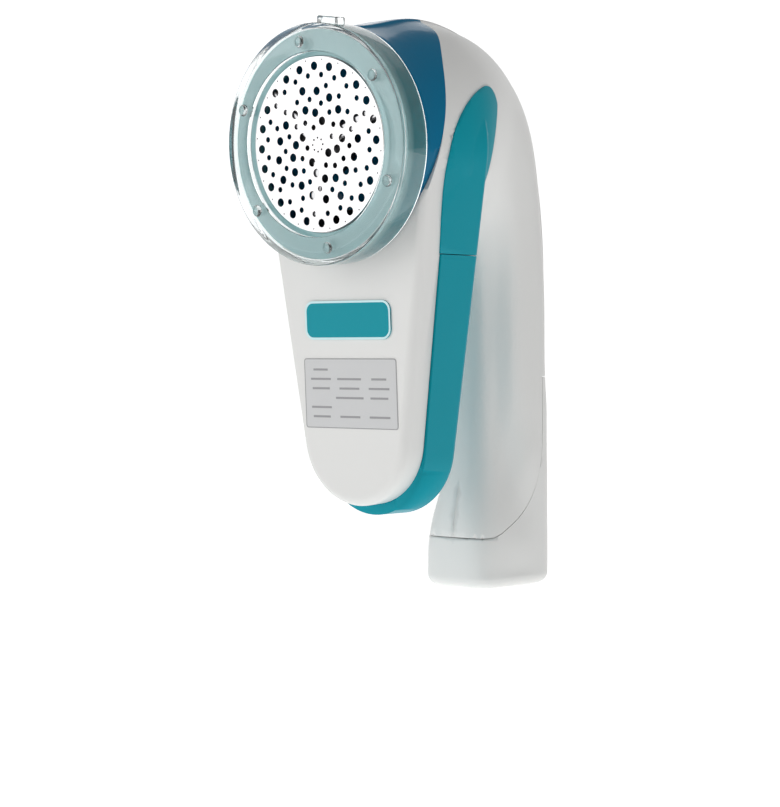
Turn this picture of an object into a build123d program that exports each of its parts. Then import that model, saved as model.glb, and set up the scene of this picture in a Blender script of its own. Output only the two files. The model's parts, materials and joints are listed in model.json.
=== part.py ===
from build123d import *
import os
from functools import lru_cache
from math import asin, cos, hypot, pi, radians, sin, sqrt

# A hand-held fabric shaver: an upright body shaped like an upside-down U. The front leg carries the
# round shaving head and the lint container, and the rear leg is the handle with two cells in line.
# Frame: +Z up, the head faces -Y, the origin is the middle of the foot's base. Millimetres.

# ---- general fits ----
wall = 1.8                   # moulded housing wall
running_gap = 0.3            # between pieces that move past each other
seam_gap = 0.25              # round a lid or a lift-off piece
shaft_play = 0.06            # radial play of the shaft in its bushes

# ---- shaving head: depths are measured back from the spacer ring's front plane ----
head_reach = 76.0            # how far the ring's front stands in front of the foot's middle
head_height = 126.0          # height of the ring's middle
head_tilt = 4.0              # the head looks down by this many degrees
spacer_radius = 33.0
spacer_wall = 1.4
spacer_face = 1.6            # thickness of the clear front annulus
spacer_bore = 25.2
spacer_depth = 9.4           # length of the clear skirt
pip_count = 6
pip_radius = 1.65
pip_circle = 28.4
first_pip_turn = 97.0
pip_height = 0.7
grip_tab = (7.0, 2.2, 4.2)   # width, thickness, length of the tab that pulls the spacer off
grip_tab_turn = 9.0          # degrees from the top towards +X

foil_radius = 23.9           # flat part of the foil
foil_thickness = 0.22
foil_face = 1.75             # depth of the foil's front
foil_rim = 26.4              # flange under the ring's lip
foil_rim_depth = 3.5
hole_radius_large = 1.2
hole_radius_small = 0.8
rim_hole_count = 24          # holes in each of the two outer rings
rim_hole_circle = 21.4       # ring of large holes
second_hole_circle = 19.0    # ring of small holes, half a step round
spiral_first = 4             # the holes inside them follow a sunflower spiral
spiral_last = 68
spiral_pitch = 2.0
golden_turn = 137.508        # degrees from one spiral hole to the next
dot_radius = 0.3
dot_count = 8
dot_circle = 1.9
rim_dot_circle = 23.1
rim_dot_radius = 0.22

foil_ring_face = 2.6         # depth of the aqua ring's front
foil_ring_wall = 1.5
foil_ring_back = 9.9         # depth of its rear edge
lug_count = 3
lug_arc = 14.0
lug_depth = 0.9
lug_length = 1.5
lug_middle = 7.6             # depth of the bayonet lugs
twist_range = 30.0           # turn from locked to free

chamber_radius = 27.0
neck_wall = 2.3
neck_front = 5.6             # depth of the chamber wall's front edge
collar_face = 10.2           # depth where the blue collar starts
floor_face = 14.0            # depth of the chamber floor
floor_thickness = 2.0
collar_wall = 2.0
collar_clearance = 0.3       # round the collar's plate inside the housing

blade_count = 3
blade_tip = 23.4
blade_root = 5.0
blade_width = 3.4
blade_thickness = 0.6
blade_face = 2.3
hub_radius = 8.0
hub_arm_width = 4.4
hub_arm_thickness = 1.6
hub_back = 9.0
fan_vane = (0.9, 11.0, 3.2)  # thickness, radial length and depth of a vane behind each arm
shaft_radius = 1.0
spring_bore = 2.5
clip_thickness = 0.4
boss_radius = 4.0
boss_height = 2.4
seal_thickness = 0.8

# ---- motor behind the floor ----
motor_radius = 12.0
motor_flat = 10.0            # half the distance across its flats
motor_wall = 0.8
bracket_thickness = 1.8
motor_length = 23.0
endcap_thickness = 2.2
magnet_thickness = 1.7
armature_radius = 8.3
commutator_radius = 2.9
bush_radius = 3.0

# ---- lobe: the front leg, with the front shell and the lint container ----
lobe_front = -62.9           # face of the white front, at the container's top
lobe_split = -55.0           # parting between the white front and the container, at the same height
lobe_rear = -38.0
lobe_lean = 3.0              # degrees that the front and the parting fall back towards the bottom
lobe_top_radius = 31.5
lobe_bottom_radius = 19.5
shell_bottom_middle = 46.0   # height of the white front's lower arc
container_bottom_middle = 43.4
container_proud = 0.4        # how far the teal stands out from the white
container_top = 96.0
container_wall = 1.6
container_floor = 2.0
front_fillet = 2.6
rear_fillet = 2.5
liner_thickness = 1.5
liner_clearance = 0.05       # round the liner inside the front shell
liner_top = 94.5
rail_offset = 12.0
rail_width = 2.0
rail_height = 1.0
rail_low = 46.0
rail_high = 88.0
duct_half_width = 11.0
duct_wall = 1.2
flash_recess = 0.7           # how deep the side flashes are let into the body
badge_size = (32.0, 10.8)
badge_corner = 3.0
badge_height = 78.7          # height of the badge's middle
badge_thickness = 0.45
label_size = (34.6, 19.6)
label_corner = 0.8
label_height = 58.2
label_thickness = 0.12

# ---- handle ----
cell_radius = 7.25
cell_length = 50.5
cell_y = 1.0
cell_base = 8.0              # height of the lower cell's base
cradle_wall = 1.0
cradle_clearance = 0.1       # between the cradle and the handle
cover_front_height = 14.8    # height of the foot's parting line at the front
cover_rear_height = 62.0
cover_panel_y = 10.2
foot_fillet = 3.5
contact_thickness = 0.4

# ---- thumb switch on the back of the arch ----
switch_height = 124.0
switch_travel = 5.0
switch_knob_size = (8.0, 11.0, 2.4)   # width, length, height above the shell
switch_stem = (4.0, 5.0)

wire_radius = 0.6
screw_radius = 1.25
screw_head_radius = 2.3


# ======== frames and small helpers ========
HEAD = Plane(origin=(0, -head_reach, head_height), x_dir=(1, 0, 0),
             z_dir=(0, -cos(radians(head_tilt)), -sin(radians(head_tilt))))


def at_head(shape):
    """Place a shape whose +Z is the head's outward axis."""
    return HEAD.location * shape


def disc(radius, front, back):
    """A cylinder on the head's axis between two depths."""
    return Pos(0, 0, -(front + back) / 2) * Cylinder(radius, back - front)


def tube(outer, inner, front, back):
    return disc(outer, front, back) - disc(inner, front - 1, back + 1)


def sector(inner, outer, front, back, start, arc):
    """Part of a tube on the head's axis, from an angle and through an arc."""
    with BuildPart() as part:
        with BuildSketch(Plane.XZ):
            with Locations(((inner + outer) / 2, -(front + back) / 2)):
                Rectangle(outer - inner, back - front)
        revolve(axis=Axis.Z, revolution_arc=arc)
    return Rot(0, 0, start) * part.part


def slab(x0, x1, y0, y1, z0, z1):
    """An upright box between six planes."""
    box = Box(x1 - x0, y1 - y0, z1 - z0)
    return Pos((x0 + x1) / 2, (y0 + y1) / 2, (z0 + z1) / 2) * box


def side_prism(outline, x0, x1):
    """A face drawn in Y and Z, extruded across X."""
    face = make_face(outline)
    return extrude(face, amount=x1 - x0, dir=(1, 0, 0)).moved(Location((x0, 0, 0)))


def along_x(radius, y, z, x0, x1):
    """A cylinder along X."""
    return Pos((x0 + x1) / 2, y, z) * Rot(0, 90, 0) * Cylinder(radius, x1 - x0)


def bent_tube(points, radius):
    """A round wire along a smooth route."""
    route = Spline(*points)
    start = Plane(origin=route @ 0, z_dir=route % 0)
    return sweep(start * Circle(radius), path=route)


# ======== the body's outer form ========
# Each station is a cross-section between the arch's underside and its back: (inner Y, inner Z, outer Y,
# outer Z, half width, squareness of the outer half, squareness of the inner half, pinch of the inner half,
# and where the pinch starts, as a share of the half depth from the middle towards the inner side).
STATIONS = [
    (-75.0, 94.8, -74.0, 158.6, 31.4, 2.0, 2.0, 0, 0.3),
    (-65.5, 95.4, -65.5, 159.2, 31.4, 2.0, 2.0, 0, 0.3),
    (-53.5, 96.2, -53.5, 161.6, 31.6, 2.0, 2.3, 0, 0.3),
    (-42.0, 97.6, -41.0, 163.6, 31.0, 2.05, 2.7, 0, 0.3),
    (-34.5, 100.6, -28.8, 162.6, 28.0, 2.15, 2.9, 0, 0.3),
    (-28.5, 102.6, -15.0, 158.2, 23.5, 2.3, 2.8, 0, 0.3),
    (-22.5, 102.5, -2.3, 149.6, 19.0, 2.6, 2.7, 0.02, 0.3),
    (-17.5, 99.5, 7.2, 137.0, 16.0, 2.9, 2.8, 0.1, 0.3),
    (-13.9, 94.0, 11.8, 121.0, 14.2, 3.3, 3.0, 0.2, 0.3),
    (-12.0, 86.0, 14.3, 102.0, 13.3, 3.7, 3.1, 0.29, 0.3),
    (-11.3, 74.0, 15.6, 80.0, 13.0, 3.9, 3.2, 0.33, 0.3),
    (-11.2, 56.0, 16.4, 56.0, 13.0, 4.0, 3.2, 0.33, 0.22),
    (-11.8, 44.0, 16.7, 44.0, 13.0, 4.1, 3.2, 0.29, 0.1),
    (-13.0, 34.0, 16.8, 34.0, 13.1, 4.2, 3.3, 0.21, -0.08),
    (-14.8, 25.0, 16.9, 25.0, 13.1, 4.3, 3.7, 0.1, -0.25),
    (-16.3, 16.0, 16.9, 16.0, 13.1, 4.5, 4.2, 0, -0.3),
    (-16.8, 8.0, 16.9, 8.0, 13.1, 4.6, 4.6, 0, -0.3),
    (-16.9, foot_fillet, 16.9, foot_fillet, 13.1, 4.6, 4.6, 0, -0.3),
]
FOOT_STEPS = 4               # steps round the foot's lower edge
PINCH_SPAN = 0.5             # share of the half depth over which the width falls to the ridge's
HALF_SECTION_STEPS = 12


def half_section(station, inset):
    """Right half of one cross-section of the body, drawn in by the inset."""
    inner_y, inner_z, outer_y, outer_z, half_width, outer_power, inner_power, pinch, pinch_start = station
    reach = hypot(outer_y - inner_y, outer_z - inner_z)
    along = Vector(0, (outer_y - inner_y) / reach, (outer_z - inner_z) / reach)
    middle = Vector(0, (inner_y + outer_y) / 2, (inner_z + outer_z) / 2)
    points = []
    for step in range(HALF_SECTION_STEPS + 1):
        angle = pi * (step / HALF_SECTION_STEPS - 0.5)
        outwards = sin(angle) >= 0
        power = outer_power if outwards else inner_power
        side = (half_width - inset) * max(cos(angle), 0) ** (2 / power)
        rise = (reach / 2 - inset) * abs(sin(angle)) ** (2 / power) * (1 if outwards else -1)
        depth = min(max((-rise / (reach / 2) - pinch_start) / PINCH_SPAN, 0), 1)
        side *= 1 - pinch * depth * depth * (3 - 2 * depth)
        points.append(middle + along * rise + Vector(side, 0, 0))
    points[0].X = points[-1].X = 0
    curve = Spline(*points, tangents=((1, 0, 0), (-1, 0, 0)))
    return Face(Wire([curve, Line(points[-1], points[0])]))


def foot_station(height, drawn_in):
    """The foot's cross-section at a height, drawn in all round."""
    inner_y, _, outer_y, _, half_width, *shape = STATIONS[-1]
    return (inner_y + drawn_in, height, outer_y - drawn_in, height, half_width - drawn_in, *shape)


def foot_rounding():
    """Right half of the foot's lowest slice, with its edge rounded down to the flat base."""
    turns = [pi / 2 * step / FOOT_STEPS for step in range(FOOT_STEPS + 1)]
    stations = [foot_station(foot_fillet * (1 - sin(turn)), foot_fillet * (1 - cos(turn))) for turn in turns]
    return loft([half_section(station, 0) for station in stations])


@lru_cache
def body_half(inset):
    """Right half of the head's back, the arch, the handle and the foot; drawn in, it runs out ahead."""
    stations = [*STATIONS, foot_station(0, 0)] if inset > 0 else STATIONS
    form = loft([half_section(station, inset) for station in stations])
    if inset > 0:
        return form - slab(-60, 60, -60, 60, -5, inset)
    if inset == 0:
        form += foot_rounding()
    return form - at_head(disc(60, -20, collar_face))


@lru_cache
def body_form(inset):
    half = body_half(inset)
    return half + mirror(half, Plane.YZ)


def lobe_outline(top_radius, bottom_radius, bottom_middle):
    """Front view of the lobe: the head's circle drawn down to a smaller one."""
    lean = asin((top_radius - bottom_radius) / (head_height - bottom_middle))
    upper = (top_radius * cos(lean), head_height - top_radius * sin(lean))
    lower = (bottom_radius * cos(lean), bottom_middle - bottom_radius * sin(lean))
    lines = (Line(upper, lower)
             + ThreePointArc(lower, (0, bottom_middle - bottom_radius), (-lower[0], lower[1]))
             + Line((-lower[0], lower[1]), (-upper[0], upper[1]))
             + ThreePointArc((-upper[0], upper[1]), (0, head_height + top_radius), upper))
    return make_face(lines)


def lobe_form(grow, bottom_middle, front, rear):
    """The lobe's outline between two planes across Y."""
    face = Plane.XZ * lobe_outline(lobe_top_radius + grow, lobe_bottom_radius + grow, bottom_middle)
    return extrude(face, amount=rear - front, dir=(0, 1, 0)).moved(Location((0, front, 0)))


def round_across(form, y, radius):
    """Round the edges that lie in one plane across Y."""
    edges = form.edges().filter_by(lambda edge: abs(edge.center().Y - y) < 0.01)
    return fillet(edges, radius)


def ahead_of_collar_split():
    """The space in front of the curved split between the collar and the housing."""
    split = Spline((-70.0, 85.0), (-62.9, 112.0), (-57.3, 132.0), (-52.4, 147.0), (-43.0, 160.0), (-34.0, 170.0))
    edges = [split, Line((-34.0, 170.0), (-140.0, 170.0)), Line((-140.0, 170.0), (-140.0, 85.0)),
             Line((-140.0, 85.0), (-70.0, 85.0))]
    return side_prism([Plane.YZ * edge for edge in edges], -60, 60)


def lobe_leaned(shape):
    """Lean a shape by the lobe's angle, about the parting at the container's top."""
    pivot = Pos(0, lobe_split, container_top)
    return pivot * Rot(lobe_lean, 0, 0) * pivot.inverse() * shape


def behind_parting(shift=0.0):
    """The space behind the leaning parting, below the container's top."""
    return lobe_leaned(slab(-60, 60, lobe_split + shift, lobe_split + 80, -60, container_top))


# ======== shaving head ========
def spacer_ring():
    """Clear push-on ring that holds the cloth off the foil: face, skirt, pips and a grip tab."""
    ring = tube(spacer_radius, spacer_bore, 0, spacer_face)
    ring += tube(spacer_radius, spacer_radius - spacer_wall, 0, spacer_depth)
    ring = fillet(ring.edges().filter_by(GeomType.CIRCLE).sort_by(Axis.Z)[-1], 0.5)
    for index in range(pip_count):
        pip = Pos(pip_circle, 0, pip_height / 2) * Cylinder(pip_radius, pip_height)
        ring += Rot(0, 0, first_pip_turn + index * 360 / pip_count) * pip
    width, thickness, length = grip_tab
    tab = Pos(0, spacer_radius + thickness / 2 - 0.4, -spacer_face - length / 2) * Box(width, thickness, length)
    ring += Rot(0, 0, -grip_tab_turn) * fillet(tab.edges().filter_by(Axis.Z), 0.5)
    return at_head(ring)


def holes_round(circle, count, radius, first_turn=0.0):
    """A ring of equal holes."""
    return [Pos(circle * cos(turn), circle * sin(turn)) * Circle(radius)
            for turn in (first_turn + 2 * pi * index / count for index in range(count))]


def foil_holes():
    """Two rings of holes near the rim, a sunflower spiral inside them, and dots in the middle and rim."""
    holes = holes_round(rim_hole_circle, rim_hole_count, hole_radius_large)
    holes += holes_round(second_hole_circle, rim_hole_count, hole_radius_small, pi / rim_hole_count)
    holes += holes_round(dot_circle, dot_count, dot_radius)
    holes += holes_round(rim_dot_circle, rim_hole_count, rim_dot_radius, pi / rim_hole_count)
    for index in range(spiral_first, spiral_last):
        radius = spiral_pitch * sqrt(index)
        turn = radians(golden_turn * index)
        hole = Circle(hole_radius_large if index % 2 else hole_radius_small)
        holes.append(Pos(radius * cos(turn), radius * sin(turn)) * hole)
    return Sketch() + holes


def foil():
    """Perforated steel pan: a flat face, a short wall and a flange held under the ring's lip."""
    face = disc(foil_radius, foil_face, foil_face + foil_thickness)
    face -= extrude(foil_holes(), amount=4, both=True)
    side = tube(foil_radius, foil_radius - foil_thickness, foil_face, foil_rim_depth)
    flange = tube(foil_rim, foil_radius - foil_thickness, foil_rim_depth, foil_rim_depth + foil_thickness)
    return at_head(face + side + flange)


def foil_ring():
    """Aqua ring that carries the foil and twists on the collar with three bayonet lugs."""
    outer = spacer_radius - spacer_wall - running_gap
    inner = outer - foil_ring_wall
    lip = tube(outer, foil_radius + 0.15, foil_ring_face, foil_rim_depth)
    ring = lip + tube(outer, inner, foil_ring_face, foil_ring_back)
    ring = fillet(ring.edges().filter_by(GeomType.CIRCLE).sort_by(Axis.Z)[-1], 0.25)
    for index in range(lug_count):
        ring += sector(inner - lug_depth, inner + 0.2, lug_middle - lug_length / 2,
                       lug_middle + lug_length / 2, index * 360 / lug_count, lug_arc)
    return at_head(ring)


def foil_clamp_ring():
    """Ring pressed in behind the foil's flange."""
    outer = spacer_radius - spacer_wall - running_gap - foil_ring_wall
    back = foil_rim_depth + foil_thickness
    return at_head(tube(outer, foil_radius - foil_thickness, back, back + 1.2))


def blade(index):
    """One flat blade on an arm of the hub."""
    length = blade_tip - blade_root
    plate = Pos(blade_root + length / 2, 0, -blade_face - blade_thickness / 2) * Box(length, blade_width,
                                                                                     blade_thickness)
    plate = chamfer(plate.edges().filter_by(Axis.X).group_by(Axis.Z)[-1], 0.35)
    return at_head(Rot(0, 0, 20 + index * 360 / blade_count) * plate)


def blade_hub():
    """Hub with an arm under each blade and a fan vane behind each arm."""
    arm_front = blade_face + blade_thickness
    hub = disc(hub_radius, arm_front, hub_back)
    vane_thickness, vane_length, vane_depth = fan_vane
    for index in range(blade_count):
        arm = Pos(blade_tip / 2, 0, -arm_front - hub_arm_thickness / 2) * Box(blade_tip - 2, hub_arm_width,
                                                                              hub_arm_thickness)
        vane = Pos(hub_radius + vane_length / 2 - 0.3, 0, -arm_front - hub_arm_thickness - vane_depth / 2)
        vane = vane * Box(vane_length, vane_thickness, vane_depth)
        hub += Rot(0, 0, 20 + index * 360 / blade_count) * (arm + vane)
    hub -= disc(shaft_radius, 0, 20)
    hub -= disc(spring_bore, arm_front + 3.0, 20)
    return at_head(hub)


def blade_spring():
    """Spring that pushes the hub towards the foil, inside the hub's bore."""
    wire = 0.22
    front = blade_face + blade_thickness + 3.0 + wire
    back = hub_back - wire
    helix = Helix(pitch=0.85, height=back - front, radius=(shaft_radius + spring_bore) / 2)
    start = Plane(origin=helix @ 0, z_dir=helix % 0)
    coil = sweep(start * Circle(wire), path=helix, is_frenet=True)
    return at_head(Pos(0, 0, -back) * coil)


def shaft_clip():
    """Split washer on the shaft that the spring rests on."""
    return at_head(tube(spring_bore, shaft_radius, hub_back, hub_back + clip_thickness))


def head_collar():
    """Deep blue collar: chamber wall, floor with the shaft boss and lint slot, and the outer skirt."""
    neck = chamber_radius + neck_wall
    plate = at_head(disc(60, collar_face, floor_face + floor_thickness))
    skirt = (body_form(0) & ahead_of_collar_split()) + (body_form(wall + collar_clearance) & plate)
    hollow = body_form(collar_wall) & at_head(disc(60, floor_face + floor_thickness, 80))
    collar = skirt - hollow - at_head(disc(chamber_radius, -5, floor_face))
    collar += at_head(tube(neck, chamber_radius, neck_front, floor_face + 1))
    collar += at_head(disc(boss_radius, floor_face - boss_height, floor_face + 1))
    collar -= at_head(disc(bush_radius + 0.05, floor_face - boss_height + 1.0, 30))
    collar -= at_head(disc(shaft_radius + 0.2, 0, 30))
    collar -= at_head(Pos(0, -chamber_radius + 5.5, -floor_face) * Box(2 * duct_half_width - 4, 7, 12))
    groove_deep = neck - lug_depth
    front = lug_middle - lug_length / 2 - running_gap
    back = lug_middle + lug_length / 2 + running_gap
    for index in range(lug_count):
        start = index * 360 / lug_count
        collar -= at_head(sector(groove_deep, neck + 1, front, back, start - 2, lug_arc + twist_range + 4))
        collar -= at_head(sector(groove_deep, neck + 1, 0, back, start + twist_range - 2, lug_arc + 4))
    return collar


# ======== motor ========
def motor_start():
    """Depth of the motor can's front."""
    return floor_face + floor_thickness + bracket_thickness


def flatted(radius, front, back, flat):
    return disc(radius, front, back) & Pos(0, 0, -(front + back) / 2) * Box(2 * flat, 4 * radius, back - front + 2)


def motor_shaft():
    return at_head(disc(shaft_radius, blade_face + 0.6, motor_start() + motor_length + 2.0))


def motor_can():
    front = motor_start()
    can = flatted(motor_radius, front, front + motor_length, motor_flat)
    can -= flatted(motor_radius - motor_wall, front + motor_wall, front + motor_length + 1, motor_flat - motor_wall)
    return at_head(can - disc(bush_radius, front - 1, front + 4))


def motor_endcap():
    front = motor_start() + motor_length
    cap = flatted(motor_radius, front, front + endcap_thickness, motor_flat)
    return at_head(cap - disc(bush_radius, front - 1, front + endcap_thickness - 0.8)
                   - disc(shaft_radius + 0.4, front, front + 5))


def motor_bush(at_front):
    front = motor_start()
    if at_front:
        span = (floor_face - boss_height + 1.0 + 0.2, front + 1.4)
    else:
        span = (front + motor_length - 1.4, front + motor_length + endcap_thickness - 0.8)
    return at_head(tube(bush_radius, shaft_radius + shaft_play, *span))


def motor_armature():
    """Laminated core with three slots, on the shaft."""
    front = motor_start() + 4.5
    back = front + 12.0
    core = disc(armature_radius, front, back) - disc(shaft_radius, front - 1, back + 1)
    for index in range(3):
        slot = Pos(armature_radius - 1.5, 0, -(front + back) / 2) * Box(5, 2.2, back - front + 2)
        core -= Rot(0, 0, index * 120) * slot
    return at_head(core)


def commutator():
    front = motor_start() + 17.5
    return at_head(tube(commutator_radius, shaft_radius, front, front + 3.4))


def motor_magnet(side):
    """Arc magnet inside the can's round wall, at the top or the bottom."""
    front = motor_start() + 3.5
    outer = motor_radius - motor_wall
    arc = sector(outer - magnet_thickness, outer, front, front + 14.0, 90 * side - 40, 80)
    return at_head(arc)


def motor_bracket():
    """Plate between the chamber floor and the motor, with two screw ears."""
    front = floor_face + floor_thickness
    plate = disc(motor_radius, front, front + bracket_thickness)
    plate += Pos(0, 0, -front - bracket_thickness / 2) * Box(36, 8, bracket_thickness)
    plate -= disc(bush_radius + 0.05, front - 1, front + 5)
    for x in (-15.0, 15.0):
        plate -= Pos(x, 0, -front) * Cylinder(screw_radius, 10)
    return at_head(plate)


def motor_screw(x):
    """Pan-head screw from the rear through a bracket ear."""
    back = floor_face + floor_thickness + bracket_thickness
    shank = disc(screw_radius - 0.05, back - bracket_thickness, back)
    head = disc(screw_head_radius, back, back + 1.3) - Pos(0, 0, -back - 1.3) * Box(0.6, 3.4, 1.0)
    return at_head(Pos(x, 0, 0) * (shank + head))


def motor_terminal(side):
    back = motor_start() + motor_length + endcap_thickness
    return at_head(Pos(side * 5.5, -4, -back - 1.8) * Box(2.2, 0.5, 3.6))


def suppression_capacitor():
    """Small disc capacitor between the motor's terminals."""
    back = motor_start() + motor_length + endcap_thickness
    body = Pos(0, 3.2, -back - 3.1) * Rot(90, 0, 0) * Cylinder(3.0, 1.8)
    return at_head(fillet(body.edges(), 0.5))


def shaft_seal():
    front = floor_face - boss_height - seal_thickness
    return at_head(tube(boss_radius - 0.5, shaft_radius + shaft_play, front, front + seal_thickness))


# ======== lobe ========
def front_shell_form(inset):
    """The leaning lobe from its front face to beyond the parting, drawn in by the inset."""
    lobe = lobe_form(-inset, shell_bottom_middle, lobe_front + inset, lobe_split + 5)
    return lobe_leaned(round_across(lobe, lobe_front + inset, max(front_fillet - inset, 0.4)))


def flash_outline():
    """Side view of the leaf-shaped flash, from the container's top to its tip."""
    low = container_top + seam_gap
    front = Spline((lobe_split - 0.2, low), (-56.4, low + 12), (-56.2, low + 25), (-52.4, low + 35.5),
                   (-45.0, low + 43.0), (-36.5, low + 47.0))
    tip = Spline((-36.5, low + 47.0), (-32.2, low + 46.4), (-30.0, low + 42.5))
    rear = Spline((-30.0, low + 42.5), (-31.9, low + 36), (-35.0, low + 27), (lobe_rear, low + 19))
    back = Line((lobe_rear, low + 19), (lobe_rear, low))
    base = Line((lobe_rear, low), (lobe_split - 0.2, low))
    return [Plane.YZ * edge for edge in (front, tip, rear, back, base)]


def head_block(inset):
    """The lobe's outline carried up to the head above the container."""
    block = lobe_form(-inset, container_bottom_middle, lobe_split - 2 * inset, lobe_rear - inset)
    block = round_across(block, lobe_rear - inset, rear_fillet - inset)
    return block - slab(-60, 60, -100, 0, 0, container_top + seam_gap + inset)


def flash_band(inner, outer):
    """A skin that follows the right side inside the flash's outline, between two offsets."""
    prism = side_prism(flash_outline(), 12, 45)
    forms = []
    for offset in (outer, inner):
        lobe = round_across(lobe_form(offset, container_bottom_middle, lobe_front, lobe_rear), lobe_rear, rear_fillet)
        forms.append((body_half(-offset) & prism) + (lobe & prism))
    return forms[0] - forms[1]


def side_flash():
    """Teal flash let into the housing's right side, above the container."""
    return flash_band(-flash_recess, container_proud)


def front_shell():
    """White front of the lobe, open behind, with the opening for the head."""
    outer = front_shell_form(0) - behind_parting() - slab(-60, 60, lobe_split, 0, container_top, 200)
    outer += body_form(0) & slab(-60, 60, -70, lobe_split, container_top, 170)
    inner = front_shell_form(wall) + (body_form(wall) & slab(-60, 60, -90, lobe_split + 5, 90, 170))
    neck_room = disc(chamber_radius + neck_wall + collar_clearance, -5, floor_face + floor_thickness + 0.05)
    return outer - inner - ahead_of_collar_split() - at_head(neck_room)


def front_liner():
    """Plate that closes the front shell behind, with two rails for the container."""
    inset = wall + liner_clearance
    region = behind_parting(-liner_thickness) - behind_parting() - slab(-60, 60, -90, 0, liner_top, 170)
    plate = front_shell_form(inset) & region
    for x in (-rail_offset, rail_offset):
        plate += lobe_leaned(slab(x - rail_width / 2, x + rail_width / 2, lobe_split - 0.2,
                                  lobe_split + seam_gap + rail_height, rail_low, rail_high))
    return plate


def lint_container():
    """Teal bin behind the liner: open at the top, with grooves for the rails."""
    top_cut = slab(-60, 60, -100, 0, container_top, 200)
    outer = lobe_form(container_proud, container_bottom_middle, lobe_split - 2, lobe_rear)
    outer = (round_across(outer, lobe_rear, rear_fillet) & behind_parting(seam_gap)) - top_cut
    inner = lobe_form(container_proud - container_wall, container_bottom_middle + container_floor - container_wall,
                      lobe_split - 2, lobe_rear - container_wall)
    inner = round_across(inner, lobe_rear - container_wall, rear_fillet - container_wall)
    tub = outer - (inner & behind_parting(seam_gap + container_wall + rail_height))
    for x in (-rail_offset, rail_offset):
        groove = rail_width / 2 + seam_gap
        tub -= lobe_leaned(slab(x - groove, x + groove, lobe_split - 2, lobe_split + 2 * seam_gap + rail_height,
                                rail_low - seam_gap, 200))
    return tub


def lint_duct():
    """Short box duct from the chamber's slot down into the container."""
    top = head_height - chamber_radius + 11.0
    half = duct_half_width
    outer = slab(-half, half, -64, lobe_rear - 5, container_top + seam_gap + wall, top)
    bore = slab(-half + duct_wall, half - duct_wall, -70, lobe_rear - 5 - duct_wall, 0, top - duct_wall)
    duct = outer - bore
    duct -= slab(-60, 60, -70, lobe_split, 0, container_top + seam_gap + wall + 3)
    return duct - at_head(disc(60, -10, floor_face + floor_thickness))


# ======== housing ========
def cover_prism(gap=0.0):
    """Side outline of the battery cover: the foot and the panel up the handle's back."""
    low = cover_front_height + gap
    high = cover_rear_height + gap
    panel = cover_panel_y - gap
    sweep_up = Spline((-15, low), (-7, low + 2.6), (0, low + 6.4), (5, low + 12), (8.8, low + 21.5),
                      (panel, low + 33), tangents=((1, 0), (0, 1)))
    edges = [Line((-40, -5), (-40, low)), Line((-40, low), (-15, low)), sweep_up,
             Line((panel, low + 33), (panel, high)), Line((panel, high), (40, high)),
             Line((40, high), (40, -5)), Line((40, -5), (-40, -5))]
    return side_prism([Plane.YZ * edge for edge in edges], -40, 40)


SCREW_PLACES = ((-24.0, 110.5), (-23.0, 149.5), (-10.8, 21.0))


def screw_pillars(side):
    """Bosses that the housing screws pull together."""
    pillars = Part()
    for y, z in SCREW_PLACES:
        pillars += along_x(screw_head_radius + 1.1, y, z, 0, 45)
    pillars &= body_half(0.6)
    return pillars if side > 0 else mirror(pillars, Plane.YZ)


def switch_plane():
    """Plane on the arch's back at the switch: X across, Y along the slide, Z outwards."""
    below, above = STATIONS[8], STATIONS[7]
    rise = (switch_height - below[3]) / (above[3] - below[3])
    y = below[2] + rise * (above[2] - below[2])
    lean = Vector(0, above[2] - below[2], above[3] - below[3]).normalized()
    return Plane(origin=(0, y, switch_height), x_dir=(-1, 0, 0), z_dir=(0, lean.Z, -lean.Y))


def stadium(width, length, low, high):
    """A block with round ends, standing on the switch plane."""
    return Pos(0, 0, low) * extrude(SlotOverall(length, width, rotation=90), amount=high - low)


def switch_slot():
    width, length = switch_stem
    slot = stadium(width + 2 * running_gap, length + switch_travel + 2 * running_gap, -8, 6)
    return switch_plane().location * Pos(0, switch_travel / 2, 0) * slot


def switch_dish():
    """Shallow well that the knob slides in."""
    width, length, height = switch_knob_size
    dish = stadium(width + 2, length + switch_travel + 2, -0.6, 8)
    return switch_plane().location * Pos(0, switch_travel / 2, 0) * dish


def switch_knob():
    """Thumb knob with ribs, and the stem that passes through the shell."""
    width, length, height = switch_knob_size
    knob = stadium(width, length, -0.3, height)
    knob = chamfer(knob.edges().group_by(Axis.Z)[-1], 0.5)
    for index in range(-2, 3):
        knob -= Pos(0, index * 1.9, height) * Box(width + 2, 0.7, 1.0)
    knob += stadium(*switch_stem, -3.2, 0)
    return switch_plane().location * knob


def switch_carriage():
    """Plate behind the shell that the stem is pressed into."""
    plate = stadium(6.6, 9.0, -4.4, -3.2)
    return switch_plane().location * plate


def switch_body():
    """Slide switch's case behind the carriage."""
    case = Pos(0, switch_travel / 2, -4.4 - running_gap - 2.2) * Box(7.0, 13.0, 4.4)
    return switch_plane().location * case


def housing(recess):
    """Right half of the arch and handle, with the side flash's recess."""
    half = slab(0, 60, -100, 60, -5, 200)
    pieces = []
    for solid in (body_half(0), head_block(0) & half):
        piece = solid - recess - body_half(wall) - head_block(wall)
        pieces.append(piece - slab(-60, 60, -100, lobe_split, -5, 200) - ahead_of_collar_split())
    shell = pieces[0] + pieces[1]
    shell -= slab(-60, 60, lobe_split - 1, lobe_rear + 2, -5, container_top + seam_gap)
    shell -= slab(-60, duct_half_width - duct_wall, lobe_split - 1, lobe_rear - 5 - duct_wall, 90, 100)
    shell -= switch_dish() + switch_slot()
    shell += switch_guard() & half
    return shell - cover_prism(seam_gap)


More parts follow.
